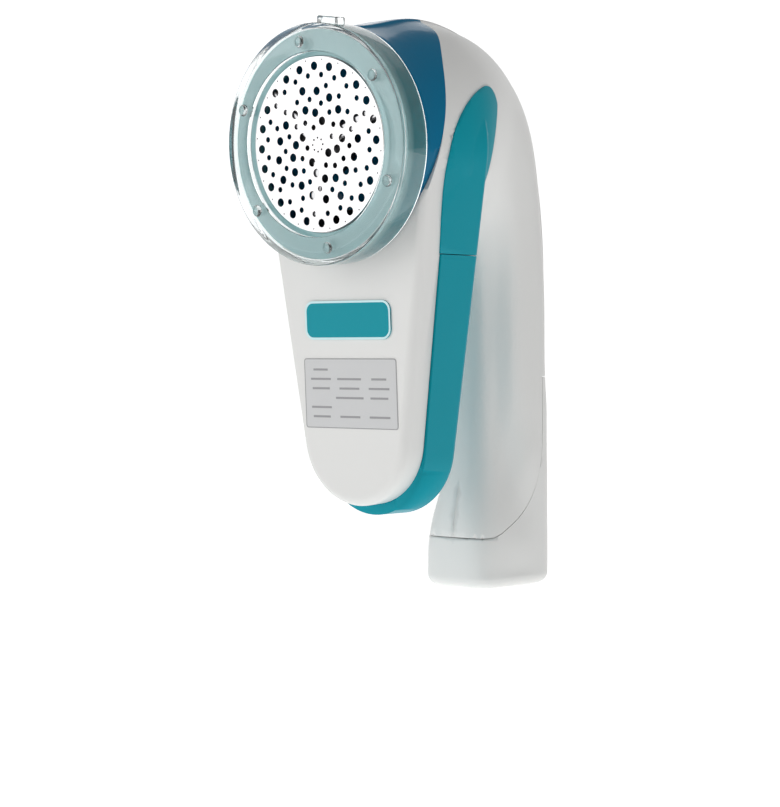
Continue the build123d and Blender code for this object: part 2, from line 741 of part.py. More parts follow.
def switch_guard():
    """Thicker wall under the switch's well, with the slot through it."""
    width, length, height = switch_knob_size
    pad = stadium(width + 4, length + switch_travel + 4, -2.6, -0.6)
    pad = switch_plane().location * Pos(0, switch_travel / 2, 0) * pad
    return (pad & body_form(0.4)) - switch_slot()


def handle_half(side, whole):
    """One half of the handle with its screw bosses: tapped on the right, countersunk on the left."""
    half = whole if side > 0 else mirror(whole, Plane.YZ)
    half += screw_pillars(side) - cover_prism(seam_gap)
    for y, z in SCREW_PLACES:
        if side > 0:
            half -= along_x(screw_radius, y, z, -1, 8.5)
        else:
            half -= along_x(screw_radius, y, z, -9, 1)
            half -= along_x(screw_head_radius + 0.2, y, z, -60, -6.0)
    return half


def housing_screw(place):
    """Screw from the left half into the right half's boss."""
    y, z = place
    shank = along_x(screw_radius - 0.02, y, z, -6.2, 8.3)
    head = along_x(screw_head_radius, y, z, -7.8, -6.0)
    cross = Pos(-7.8, y, z) * (Box(1.6, 0.7, 2.8) + Box(1.6, 2.8, 0.7))
    return shank + head - cross


def battery_cover():
    """Foot and rear panel that slide down off the handle."""
    shell = body_form(0) - body_form(wall)
    cover = shell & cover_prism()
    seat = slab(-6, 6, cell_y - 6, cell_y + 6, wall, wall + 0.6)
    return cover + seat


# ======== power ========
def battery(index):
    """AA cell with its raised positive end."""
    base = cell_base + index * cell_length
    body = Pos(0, cell_y, base + (cell_length - 1.0) / 2) * Cylinder(cell_radius, cell_length - 1.0)
    body = fillet(body.edges(), 0.5)
    return body + Pos(0, cell_y, base + cell_length - 0.75) * Cylinder(2.75, 1.5)


def battery_cradle():
    """Half-round channel that keeps the cells in line, with a stop above them."""
    low = cell_base + 1.0
    top = cell_base + 2 * cell_length
    inner = cell_radius + 0.05
    height = top - low
    channel = Pos(0, cell_y, low + height / 2) * (Cylinder(inner + cradle_wall, height) - Cylinder(inner, height + 2))
    channel -= slab(-20, 20, cell_y + 2.0, 40, 0, 200)
    stop = Pos(0, cell_y, top + contact_thickness + 0.8) * Cylinder(inner + cradle_wall, 1.6)
    wings = Pos(0, cell_y, top + contact_thickness / 2) * (Cylinder(inner + cradle_wall, contact_thickness)
                                                           - Cylinder(inner, contact_thickness + 2))
    return (channel + stop + wings) & body_form(wall + cradle_clearance)


def top_contact():
    top = cell_base + 2 * cell_length
    plate = Pos(0, cell_y, top + contact_thickness / 2) * Cylinder(5.5, contact_thickness)
    return plate


def battery_spring():
    """Coil on the cover's floor that presses on the lower cell."""
    wire = 0.45
    low = wall + 0.6 + contact_thickness + wire
    high = cell_base - 0.1 - wire
    helix = Helix(pitch=(high - low) / 3, height=high - low, radius=4.2)
    start = Plane(origin=helix @ 0, z_dir=helix % 0)
    return Pos(0, cell_y, low) * sweep(start * Circle(wire), path=helix, is_frenet=True)


def bottom_contact():
    return Pos(0, cell_y, wall + 0.6 + contact_thickness / 2) * Box(11, 11, contact_thickness)


def return_strip():
    """Flat strip that brings the lower contact up the side of the cells."""
    x = cell_radius + 0.05 + cradle_wall
    return slab(-x - contact_thickness, -x, cell_y - 1.5, cell_y + 1.5, cell_base + 8.5, cell_base + 2 * cell_length)


def wires():
    """Wires from the contacts to the switch and the motor, as name and route."""
    top = cell_base + 2 * cell_length
    motor_rear = HEAD.origin - HEAD.z_dir * (motor_start() + motor_length + endcap_thickness + 3.6 + wire_radius)
    terminal_z = motor_rear.Z - 4
    switch_low = switch_plane().from_local_coords(Vector(0, -4.0 - wire_radius, -7.0))
    switch_high = switch_plane().from_local_coords(Vector(0, 9.0 + wire_radius, -7.0))
    strip_x = -(cell_radius + 0.05 + cradle_wall) - contact_thickness / 2
    return {
        "wire_cell_to_switch": [(3.0, cell_y - 3.0, top + 2.1 + wire_radius), (2.5, cell_y - 2.5, top + 4.6),
                                (1.2, switch_low.Y - 0.4, switch_low.Z - 1.2)],
        "wire_switch_to_motor": [(1.5, switch_high.Y, switch_high.Z + 0.4), (4.0, switch_high.Y - 8, switch_high.Z + 2),
                                 (7.0, motor_rear.Y + 9, terminal_z + 5), (5.5, motor_rear.Y, terminal_z)],
        "wire_strip_to_motor": [(strip_x - 0.4, cell_y, top + wire_radius), (strip_x - 0.4, cell_y - 2.5, top + 6),
                                (-8.0, motor_rear.Y + 12, terminal_z - 6), (-5.5, motor_rear.Y + 0.1, terminal_z)],
    }


# ======== badge and label ========
def front_plate(width, height, corner, z, thickness):
    """A thin plate on the leaning front face."""
    face = Plane(origin=(0, lobe_front, z), x_dir=(1, 0, 0), z_dir=(0, -1, 0))
    return lobe_leaned(face.location * extrude(RectangleRounded(width, height, corner), amount=thickness))


def badge():
    return front_plate(*badge_size, badge_corner, badge_height, badge_thickness)


def rating_label():
    return front_plate(*label_size, label_corner, label_height, label_thickness)


# ======== write every sub-part ========
def build():
    recess = flash_band(-flash_recess, 5.0)
    flash = side_flash()
    whole = housing(recess)
    parts = {
        "foil": foil(), "foil_ring": foil_ring(), "foil_clamp_ring": foil_clamp_ring(),
        "spacer_ring": spacer_ring(), "blade_hub": blade_hub(), "blade_spring": blade_spring(),
        "shaft_clip": shaft_clip(), "motor_shaft": motor_shaft(), "head_collar": head_collar(),
        "shaft_seal": shaft_seal(), "motor_can": motor_can(), "motor_endcap": motor_endcap(),
        "motor_armature": motor_armature(), "commutator": commutator(),
        "motor_bush_front": motor_bush(True), "motor_bush_rear": motor_bush(False),
        "motor_bracket": motor_bracket(), "suppression_capacitor": suppression_capacitor(),
        "lint_duct": lint_duct(), "front_shell": front_shell() - recess - mirror(recess, Plane.YZ),
        "front_liner": front_liner(),
        "handle_right": handle_half(1, whole), "handle_left": handle_half(-1, whole),
        "flash_right": flash, "flash_left": mirror(flash, Plane.YZ), "lint_container": lint_container(),
        "battery_cover": battery_cover(), "battery_cradle": battery_cradle(),
        "battery_spring": battery_spring(), "bottom_contact": bottom_contact(), "top_contact": top_contact(),
        "return_strip": return_strip(), "switch_knob": switch_knob(), "switch_carriage": switch_carriage(),
        "switch_body": switch_body(), "badge": badge(), "rating_label": rating_label(),
    }
    for index in range(blade_count):
        parts[f"blade_{index + 1}"] = blade(index)
    for name, side in (("upper", 1), ("lower", -1)):
        parts[f"motor_magnet_{name}"] = motor_magnet(side)
    for name, side in (("right", 1), ("left", -1)):
        parts[f"motor_screw_{name}"] = motor_screw(15.0 * side)
        parts[f"motor_terminal_{name}"] = motor_terminal(side)
    for name, index in (("lower", 0), ("upper", 1)):
        parts[f"battery_{name}"] = battery(index)
    for index, place in enumerate(SCREW_PLACES):
        parts[f"housing_screw_{index + 1}"] = housing_screw(place)
    for name, route in wires().items():
        parts[name] = bent_tube(route, wire_radius)
    os.makedirs("parts", exist_ok=True)
    for name, shape in parts.items():
        export_step(shape, f"parts/{name}.step")


build()
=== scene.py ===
import json
import math

import bmesh
import bpy
from mathutils import Matrix, Vector


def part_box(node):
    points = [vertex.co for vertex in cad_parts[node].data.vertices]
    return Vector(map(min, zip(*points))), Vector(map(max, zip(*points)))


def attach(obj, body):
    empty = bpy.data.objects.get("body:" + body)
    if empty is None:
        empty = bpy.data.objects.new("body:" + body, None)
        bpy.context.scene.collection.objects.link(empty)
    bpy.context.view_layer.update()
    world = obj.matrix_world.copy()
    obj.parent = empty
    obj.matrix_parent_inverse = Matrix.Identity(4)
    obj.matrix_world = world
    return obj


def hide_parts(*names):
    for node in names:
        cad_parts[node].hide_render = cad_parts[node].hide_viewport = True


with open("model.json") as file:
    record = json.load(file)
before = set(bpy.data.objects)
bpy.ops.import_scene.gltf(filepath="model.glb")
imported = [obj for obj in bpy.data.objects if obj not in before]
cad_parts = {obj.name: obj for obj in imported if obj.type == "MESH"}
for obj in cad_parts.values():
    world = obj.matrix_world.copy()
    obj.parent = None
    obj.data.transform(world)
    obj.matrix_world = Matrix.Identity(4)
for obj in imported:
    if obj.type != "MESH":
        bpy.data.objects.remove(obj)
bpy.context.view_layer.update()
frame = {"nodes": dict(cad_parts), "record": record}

MM = 0.001
VIEW_AZIMUTH = math.radians(41.376)

# ---- clear spacer ring, in the head's own frame: +Z out through the foil, +Y up its face ----
SPACER_RADIUS = 33.0 * MM
SPACER_BORE = 25.2 * MM
SPACER_FACE = 1.6 * MM
SPACER_WALL = 1.4 * MM
SPACER_LENGTH = 9.4 * MM
PIP_CIRCLE = 28.4 * MM
PIP_RADIUS = 1.65 * MM
PIP_HEIGHT = 0.7 * MM
PIP_COUNT = 6
FIRST_PIP = math.radians(97.0)
TAB_SIZE = (7.0 * MM, 2.2 * MM, 4.2 * MM)
TAB_SINK = 0.4 * MM
TAB_TURN = math.radians(-9.0)


def joint_named(name):
    return next(j for j in frame["record"]["behaviour"]["joints"] if j["name"] == name)


# ======== camera, floor and light ========
def camera():
    """Eye level with the middle of the body, a little to the right of the head."""
    target = Vector((-7.13, -36.28, 54.56)) * MM
    azimuth, elevation, distance = VIEW_AZIMUTH, math.radians(1.312), 0.650
    back = Vector((math.sin(azimuth) * math.cos(elevation), -math.cos(azimuth) * math.cos(elevation),
                   math.sin(elevation)))
    data = bpy.data.cameras.new("camera")
    data.sensor_width = 36.0
    data.lens = 100.36
    data.clip_start = 0.05
    data.clip_end = 20.0
    eye = bpy.data.objects.new("camera", data)
    bpy.context.scene.collection.objects.link(eye)
    eye.location = target + back * distance
    eye.rotation_mode = "QUATERNION"
    eye.rotation_quaternion = (-back).to_track_quat("-Z", "Y")
    bpy.context.scene.camera = eye


def studio_sweep():
    """Pale, faintly glowing floor that curves up into a wall behind the object."""
    mesh = bpy.data.meshes.new("studio_sweep")
    bm = bmesh.new()
    bmesh.ops.create_grid(bm, x_segments=1, y_segments=1, size=1.6)
    bmesh.ops.translate(bm, verts=bm.verts, vec=(0, 0, -0.0002))
    far = [e for e in bm.edges if all(v.co.y > 1.5 for v in e.verts)]
    for step in range(8):
        grown = bmesh.ops.extrude_edge_only(bm, edges=far)["geom"]
        turn = math.radians(90 * (step + 0.5) / 8)
        verts = [g for g in grown if isinstance(g, bmesh.types.BMVert)]
        bmesh.ops.translate(bm, verts=verts, vec=(0, 0.12 * math.cos(turn), 0.12 * math.sin(turn)))
        far = [g for g in grown if isinstance(g, bmesh.types.BMEdge) and all(v in verts for v in g.verts)]
    grown = bmesh.ops.extrude_edge_only(bm, edges=far)["geom"]
    bmesh.ops.translate(bm, verts=[g for g in grown if isinstance(g, bmesh.types.BMVert)], vec=(0, 0, 1.5))
    bm.to_mesh(mesh)
    bm.free()
    mesh.shade_smooth()
    sweep = bpy.data.objects.new("studio_sweep", mesh)
    bpy.context.scene.collection.objects.link(sweep)
    sweep.rotation_euler = (0, 0, VIEW_AZIMUTH)
    paper = bpy.data.materials.new("studio_paper")
    paper.use_nodes = True
    shader = paper.node_tree.nodes["Principled BSDF"]
    shader.inputs["Base Color"].default_value = (0.93, 0.93, 0.93, 1)
    shader.inputs["Roughness"].default_value = 0.9
    shader.inputs["Specular IOR Level"].default_value = 0.1
    shader.inputs["Emission Color"].default_value = (1, 1, 1, 1)
    shader.inputs["Emission Strength"].default_value = 0.60
    mesh.materials.append(paper)


def softbox(name, place, aim, width, height, power, tint=(1, 1, 1)):
    data = bpy.data.lights.new(name, "AREA")
    data.shape = "RECTANGLE"
    data.size, data.size_y, data.energy, data.color = width, height, power, tint
    lamp = bpy.data.objects.new(name, data)
    bpy.context.scene.collection.objects.link(lamp)
    lamp.location = place
    lamp.rotation_mode = "QUATERNION"
    lamp.rotation_quaternion = (Vector(aim) - Vector(place)).to_track_quat("-Z", "Y")


def studio_light():
    """Broad light from the left of the head, weak ones from the right and above, and an even grey room."""
    middle = (0, -0.03, 0.09)
    softbox("key_left", (-0.75, -1.00, 0.40), middle, 0.8, 0.9, 4.2)
    softbox("fill_right", (1.15, -0.30, 0.30), middle, 0.7, 0.9, 0.9)
    softbox("top", (0.0, 0.05, 1.1), middle, 0.9, 0.9, 1.1)
    world = bpy.data.worlds.new("room")
    world.use_nodes = True
    world.node_tree.nodes["Background"].inputs["Color"].default_value = (1, 1, 1, 1)
    world.node_tree.nodes["Background"].inputs["Strength"].default_value = 0.33
    bpy.context.scene.world = world
    bpy.context.scene.view_settings.view_transform = "Standard"


# ======== shared finish groups ========
def new_group(name, inputs, outputs):
    group = bpy.data.node_groups.new(name, "ShaderNodeTree")
    for label, kind, default in inputs:
        socket = group.interface.new_socket(name=label, in_out="INPUT", socket_type=kind)
        socket.default_value = default
    for label, kind in outputs:
        group.interface.new_socket(name=label, in_out="OUTPUT", socket_type=kind)
    return group, group.nodes.new("NodeGroupInput"), group.nodes.new("NodeGroupOutput")


def moulded_skin_group():
    """Plastic out of a polished tool: slow colour drift, fine orange peel and rubbed patches."""
    group, given, made = new_group(
        "moulded skin",
        [("Color", "NodeSocketColor", (0.8, 0.8, 0.8, 1)), ("Drift", "NodeSocketFloat", 0.03),
         ("Roughness", "NodeSocketFloat", 0.35), ("Rub", "NodeSocketFloat", 0.08),
         ("Peel Size", "NodeSocketFloat", 900.0), ("Peel Height", "NodeSocketFloat", 0.03)],
        [("Color", "NodeSocketColor"), ("Roughness", "NodeSocketFloat"), ("Normal", "NodeSocketVector")])
    nodes, links = group.nodes, group.links
    place = nodes.new("ShaderNodeTexCoord")
    cloud = nodes.new("ShaderNodeTexNoise")
    cloud.inputs["Scale"].default_value = 28.0
    cloud.inputs["Detail"].default_value = 5.0
    links.new(place.outputs["Object"], cloud.inputs["Vector"])
    centred = nodes.new("ShaderNodeMath")
    centred.operation = "SUBTRACT"
    centred.inputs[1].default_value = 0.5
    links.new(cloud.outputs["Fac"], centred.inputs[0])
    shift = nodes.new("ShaderNodeMath")
    shift.operation = "MULTIPLY_ADD"
    shift.inputs[2].default_value = 1.0
    links.new(centred.outputs[0], shift.inputs[0])
    links.new(given.outputs["Drift"], shift.inputs[1])
    tint = nodes.new("ShaderNodeVectorMath")
    tint.operation = "SCALE"
    links.new(given.outputs["Color"], tint.inputs[0])
    links.new(shift.outputs[0], tint.inputs["Scale"])
    links.new(tint.outputs[0], made.inputs["Color"])
    wipe = nodes.new("ShaderNodeTexNoise")
    wipe.inputs["Scale"].default_value = 60.0
    wipe.inputs["Detail"].default_value = 6.0
    wipe.inputs["Distortion"].default_value = 0.8
    links.new(place.outputs["Object"], wipe.inputs["Vector"])
    wiped = nodes.new("ShaderNodeMath")
    wiped.operation = "SUBTRACT"
    wiped.inputs[1].default_value = 0.5
    links.new(wipe.outputs["Fac"], wiped.inputs[0])
    rough = nodes.new("ShaderNodeMath")
    rough.operation = "MULTIPLY_ADD"
    rough.use_clamp = True
    links.new(wiped.outputs[0], rough.inputs[0])
    links.new(given.outputs["Rub"], rough.inputs[1])
    links.new(given.outputs["Roughness"], rough.inputs[2])
    links.new(rough.outputs[0], made.inputs["Roughness"])
    peel = nodes.new("ShaderNodeTexNoise")
    peel.inputs["Detail"].default_value = 2.0
    links.new(place.outputs["Object"], peel.inputs["Vector"])
    links.new(given.outputs["Peel Size"], peel.inputs["Scale"])
    bump = nodes.new("ShaderNodeBump")
    bump.inputs["Distance"].default_value = 0.0002
    links.new(peel.outputs["Fac"], bump.inputs["Height"])
    links.new(given.outputs["Peel Height"], bump.inputs["Strength"])
    links.new(bump.outputs["Normal"], made.inputs["Normal"])
    return group


def worked_metal_group():
    """Metal with fine drawn lines along one axis and slow patches of dullness."""
    group, given, made = new_group(
        "worked metal",
        [("Color", "NodeSocketColor", (0.7, 0.7, 0.7, 1)), ("Roughness", "NodeSocketFloat", 0.25),
         ("Line Stretch", "NodeSocketVector", (1, 1, 1)), ("Line Height", "NodeSocketFloat", 0.05),
         ("Patch", "NodeSocketFloat", 0.1)],
        [("Color", "NodeSocketColor"), ("Roughness", "NodeSocketFloat"), ("Normal", "NodeSocketVector")])
    nodes, links = group.nodes, group.links
    place = nodes.new("ShaderNodeTexCoord")
    stretch = nodes.new("ShaderNodeVectorMath")
    stretch.operation = "MULTIPLY"
    links.new(place.outputs["Object"], stretch.inputs[0])
    links.new(given.outputs["Line Stretch"], stretch.inputs[1])
    lines = nodes.new("ShaderNodeTexNoise")
    lines.inputs["Scale"].default_value = 3000.0
    lines.inputs["Detail"].default_value = 3.0
    links.new(stretch.outputs[0], lines.inputs["Vector"])
    patches = nodes.new("ShaderNodeTexNoise")
    patches.inputs["Scale"].default_value = 140.0
    patches.inputs["Detail"].default_value = 4.0
    links.new(place.outputs["Object"], patches.inputs["Vector"])
    mixed = nodes.new("ShaderNodeMath")
    mixed.operation = "ADD"
    links.new(lines.outputs["Fac"], mixed.inputs[0])
    links.new(patches.outputs["Fac"], mixed.inputs[1])
    centred = nodes.new("ShaderNodeMath")
    centred.operation = "SUBTRACT"
    centred.inputs[1].default_value = 1.0
    links.new(mixed.outputs[0], centred.inputs[0])
    rough = nodes.new("ShaderNodeMath")
    rough.operation = "MULTIPLY_ADD"
    rough.use_clamp = True
    links.new(centred.outputs[0], rough.inputs[0])
    links.new(given.outputs["Patch"], rough.inputs[1])
    links.new(given.outputs["Roughness"], rough.inputs[2])
    links.new(rough.outputs[0], made.inputs["Roughness"])
    shade = nodes.new("ShaderNodeMath")
    shade.operation = "MULTIPLY_ADD"
    shade.inputs[1].default_value = 0.12
    shade.inputs[2].default_value = 1.0
    links.new(centred.outputs[0], shade.inputs[0])
    tint = nodes.new("ShaderNodeVectorMath")
    tint.operation = "SCALE"
    links.new(given.outputs["Color"], tint.inputs[0])
    links.new(shade.outputs[0], tint.inputs["Scale"])
    links.new(tint.outputs[0], made.inputs["Color"])
    bump = nodes.new("ShaderNodeBump")
    bump.inputs["Distance"].default_value = 0.0001
    links.new(lines.outputs["Fac"], bump.inputs["Height"])
    links.new(given.outputs["Line Height"], bump.inputs["Strength"])
    links.new(bump.outputs["Normal"], made.inputs["Normal"])
    return group


MOULDED = moulded_skin_group()
WORKED = worked_metal_group()


# ======== materials ========
def finish_with(name, group, settings, fixed):
    """A material whose colour, roughness and normal come from a shared group."""
    material = bpy.data.materials.new(name)
    material.use_nodes = True
    nodes, links = material.node_tree.nodes, material.node_tree.links
    shader = nodes["Principled BSDF"]
    effect = nodes.new("ShaderNodeGroup")
    effect.node_tree = group
    for label, value in settings.items():
        effect.inputs[label].default_value = value
    links.new(effect.outputs["Color"], shader.inputs["Base Color"])
    links.new(effect.outputs["Roughness"], shader.inputs["Roughness"])
    links.new(effect.outputs["Normal"], shader.inputs["Normal"])
    for label, value in fixed.items():
        shader.inputs[label].default_value = value
    return material


def plastic(name, colour, roughness=0.35, drift=0.03, rub=0.08, peel=0.03, size=900.0, **fixed):
    settings = {"Color": (*colour, 1), "Roughness": roughness, "Drift": drift, "Rub": rub,
                "Peel Height": peel, "Peel Size": size}
    return finish_with(name, MOULDED, settings, {"IOR": 1.5, **fixed})


def metal(name, colour, roughness=0.25, stretch=(1, 1, 1), lines=0.05, patch=0.1, **fixed):
    settings = {"Color": (*colour, 1), "Roughness": roughness, "Line Stretch": stretch, "Line Height": lines,
                "Patch": patch}
    return finish_with(name, WORKED, settings, {"Metallic": 1.0, **fixed})


def clear_styrene():
    """Water-clear moulding with a trace of surface waviness."""
    return plastic("clear styrene", (0.93, 0.97, 0.97), roughness=0.04, drift=0.01, rub=0.04, peel=0.02,
                   size=300.0, **{"Transmission Weight": 1.0, "IOR": 1.49})


def laminated_iron():
    """Dark stacked sheets, with fine lines across the stack."""
    return metal("laminated iron", (0.25, 0.25, 0.26), roughness=0.45, stretch=(0.2, 6.0, 0.2), lines=0.4)


def cell_sleeve():
    """Green sleeve with a gold band at the positive end of each cell."""
    material = plastic("cell sleeve", (0.03, 0.14, 0.07), roughness=0.25)
    nodes, links = material.node_tree.nodes, material.node_tree.links
    shader = nodes["Principled BSDF"]
    effect = next(n for n in nodes if n.type == "GROUP")
    place = nodes.new("ShaderNodeTexCoord")
    split = nodes.new("ShaderNodeSeparateXYZ")
    links.new(place.outputs["Object"], split.inputs[0])
    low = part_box("battery_lower")[0].z
    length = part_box("battery_upper")[0].z - low
    along = nodes.new("ShaderNodeMath")
    along.operation = "SUBTRACT"
    along.inputs[1].default_value = low
    links.new(split.outputs["Z"], along.inputs[0])
    wrapped = nodes.new("ShaderNodeMath")
    wrapped.operation = "MODULO"
    wrapped.inputs[1].default_value = length
    links.new(along.outputs[0], wrapped.inputs[0])
    band = nodes.new("ShaderNodeMath")
    band.operation = "GREATER_THAN"
    band.inputs[1].default_value = length * 0.78
    links.new(wrapped.outputs[0], band.inputs[0])
    blend = nodes.new("ShaderNodeMix")
    blend.data_type = "RGBA"
    links.new(band.outputs[0], blend.inputs["Factor"])
    links.new(effect.outputs["Color"], blend.inputs[6])
    blend.inputs[7].default_value = (0.55, 0.38, 0.12, 1)
    links.new(blend.outputs[2], shader.inputs["Base Color"])
    return material


def felt():
    material = plastic("felt", (0.16, 0.14, 0.12), roughness=0.95, drift=0.5, peel=0.6, size=4000.0)
    material.node_tree.nodes["Principled BSDF"].inputs["Sheen Weight"].default_value = 0.4
    return material


def aqua_ring():
    """Pale aqua front on a ring whose skirt looks teal, as the collar shows through it."""
    material = plastic("aqua plastic", (0.30, 0.56, 0.58), roughness=0.16, drift=0.06,
                       **{"Coat Weight": 0.3, "Coat Roughness": 0.05})
    nodes, links = material.node_tree.nodes, material.node_tree.links
    shader = nodes["Principled BSDF"]
    effect = next(n for n in nodes if n.type == "GROUP")
    spin = joint_named("blade_spin")
    outward, on_axis = Vector(spin["axis"]), Vector(spin["pos_m"])
    place = nodes.new("ShaderNodeTexCoord")
    height = nodes.new("ShaderNodeVectorMath")
    height.operation = "DOT_PRODUCT"
    height.inputs[1].default_value = outward
    links.new(place.outputs["Object"], height.inputs[0])
    depth = nodes.new("ShaderNodeMapRange")
    depth.inputs["From Min"].default_value = on_axis.dot(outward) - 3.0 * MM
    depth.inputs["From Max"].default_value = on_axis.dot(outward) - 5.2 * MM
    links.new(height.outputs["Value"], depth.inputs["Value"])
    blend = nodes.new("ShaderNodeMix")
    blend.data_type = "RGBA"
    links.new(depth.outputs["Result"], blend.inputs["Factor"])
    links.new(effect.outputs["Color"], blend.inputs[6])
    blend.inputs[7].default_value = (0.004, 0.25, 0.30, 1)
    links.new(blend.outputs[2], shader.inputs["Base Color"])
    return material


WHITE = (0.78, 0.78, 0.765)
FINISHES = {
    "white_shell": plastic("white shell", WHITE, roughness=0.38, drift=0.02, peel=0.05,
                           **{"Subsurface Weight": 0.06, "Subsurface Radius": (0.004, 0.004, 0.004)}),
    "teal_plastic": plastic("teal plastic", (0.001, 0.290, 0.365), roughness=0.34, drift=0.10,
                            **{"Specular IOR Level": 0.12}),
    "blue_plastic": plastic("blue plastic", (0.001, 0.150, 0.290), roughness=0.16, drift=0.12,
                            **{"Specular IOR Level": 0.08, "Coat Weight": 0.12, "Coat Roughness": 0.06}),
    "aqua_plastic": aqua_ring(),
    "clear_plastic": clear_styrene(),
    "foil_steel": metal("foil steel", (0.66, 0.65, 0.655), roughness=0.30, lines=0.03, patch=0.16),
    "blade_steel": metal("blade steel", (0.50, 0.50, 0.51), roughness=0.3, stretch=(0.1, 1, 1), lines=0.2),
    "dark_plastic": plastic("dark plastic", (0.022, 0.023, 0.025), roughness=0.45, peel=0.15),
    "spring_steel": metal("spring steel", (0.62, 0.62, 0.63), roughness=0.2, lines=0.08),
    "felt": felt(),
    "motor_steel": metal("zinc plate", (0.56, 0.57, 0.58), roughness=0.35, patch=0.25),
    "laminated_iron": laminated_iron(),
    "copper_alloy": metal("copper alloy", (0.72, 0.43, 0.20), roughness=0.28, patch=0.2),
    "magnet_ferrite": plastic("ferrite", (0.045, 0.045, 0.048), roughness=0.6, drift=0.3, peel=0.3),
    "capacitor_coat": plastic("capacitor coat", (0.48, 0.17, 0.04), roughness=0.3),
    "cell_wrap": cell_sleeve(),
    "wire_red": plastic("red insulation", (0.42, 0.02, 0.02), roughness=0.4),
    "wire_black": plastic("black insulation", (0.02, 0.02, 0.02), roughness=0.4),
    "badge_plastic": plastic("badge face", (0.001, 0.300, 0.370), roughness=0.25, **{"Specular IOR Level": 0.12}),
    "label_film": plastic("label film", (0.62, 0.625, 0.63), roughness=0.5, drift=0.04),
}
INK = plastic("grey ink", (0.33, 0.33, 0.34), roughness=0.6)
BORDER = plastic("badge border", (0.62, 0.86, 0.88), roughness=0.3)


# ======== pieces ========
def keep(name, bm, material, body, smooth_angle=35.0):
    """Make an object of a finished bmesh, with its place in its mesh."""
    mesh = bpy.data.meshes.new(name)
    bm.to_mesh(mesh)
    bm.free()
    mesh.materials.append(material)
    mesh.shade_smooth()
    mesh.set_sharp_from_angle(angle=math.radians(smooth_angle))
    piece = bpy.data.objects.new(name, mesh)
    bpy.context.scene.collection.objects.link(piece)
    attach(piece, body)
    return piece


def body_of(node):
    bodies = frame["record"]["behaviour"]["bodies"]
    return next(body for body, members in bodies.items() if node in members)


def slot_of(node):
    return next(s["material_slot"] for s in frame["record"]["subparts"] if s["node"] == node)


def smoothed_copy(node, angle):
    """The same shape as a CAD part with its triangles merged, so that its round faces shade smoothly."""
    bm = bmesh.new()
    bm.from_mesh(frame["nodes"][node].data)
    bmesh.ops.remove_doubles(bm, verts=bm.verts, dist=2e-6)
    bmesh.ops.dissolve_degenerate(bm, edges=bm.edges, dist=1e-6)
    slot = slot_of(node)
    piece = keep(f"{node}_skin", bm, FINISHES[slot], body_of(node), angle)
    piece.modifiers.new("even shading", "WEIGHTED_NORMAL").keep_sharp = True
    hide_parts(node)
    return piece


SMOOTH_ANGLE = 32.0
SMOOTHED = ["front_shell", "handle_right", "handle_left", "battery_cover", "lint_container", "flash_right",
            "flash_left", "head_collar", "foil_ring", "switch_knob"]


def finish_cad_nodes():
    """Every CAD part that stays gets its slot's finish."""
    for node, thing in frame["nodes"].items():
        material = FINISHES[slot_of(node)]
        if thing.data.materials:
            for index in range(len(thing.data.materials)):
                thing.data.materials[index] = material
        else:
            thing.data.materials.append(material)


def head_place():
    """Matrix from the head's own frame, +Z out through the foil and +Y up its face, to the object's."""
    spin = joint_named("blade_spin")
    outward, across = Vector(spin["axis"]).normalized(), Vector((1, 0, 0))
    turn = Matrix((across, outward.cross(across), outward)).transposed().to_4x4()
    return Matrix.Translation(Vector(spin["pos_m"])) @ turn


def turned_ring(bm, corners, softness, steps=144):
    """Spin a closed outline of radius and height pairs about Z, with its corners rounded."""
    points = [bm.verts.new((radius, 0, height)) for radius, height in corners]
    outline = bm.faces.new(points)
    bmesh.ops.bevel(bm, geom=list(outline.verts), offset=softness, affect="VERTICES", segments=4,
                    profile=0.5, material=-1)
    section = bm.faces[:]
    edges = bm.edges[:]
    bmesh.ops.delete(bm, geom=section, context="FACES_ONLY")
    bmesh.ops.spin(bm, geom=edges, cent=(0, 0, 0), axis=(0, 0, 1), angle=math.tau, steps=steps,
                   use_merge=True)
    bmesh.ops.remove_doubles(bm, verts=bm.verts, dist=1e-6)
    bmesh.ops.recalc_face_normals(bm, faces=bm.faces)


def spacer_pips(bm):
    """Six low domes on the ring's face."""
    for index in range(PIP_COUNT):
        turn = FIRST_PIP + index * math.tau / PIP_COUNT
        dome = bmesh.ops.create_uvsphere(bm, u_segments=28, v_segments=14, radius=PIP_RADIUS)["verts"]
        bmesh.ops.scale(bm, verts=dome, vec=(1, 1, PIP_HEIGHT / PIP_RADIUS))
        bmesh.ops.translate(bm, verts=dome, vec=(PIP_CIRCLE * math.cos(turn), PIP_CIRCLE * math.sin(turn), 0))


def spacer_tab(bm):
    """Grip tab that stands up from the skirt behind the face."""
    width, height, length = TAB_SIZE
    tab = bmesh.ops.create_cube(bm, size=1.0)["verts"]
    bmesh.ops.scale(bm, verts=tab, vec=(width, height, length))
    edges = list({e for v in tab for e in v.link_edges})
    rounded = bmesh.ops.bevel(bm, geom=edges, offset=0.5 * MM, affect="EDGES", segments=4, profile=0.5,
                              material=-1)
    tab = list({v for f in rounded["faces"] for v in f.verts} | {v for v in tab if v.is_valid})
    stand = SPACER_RADIUS + height / 2 - TAB_SINK
    bmesh.ops.translate(bm, verts=tab, vec=(0, stand, -SPACER_FACE - length / 2))
    bmesh.ops.rotate(bm, verts=tab, cent=(0, 0, 0), matrix=Matrix.Rotation(TAB_TURN, 3, "Z"))


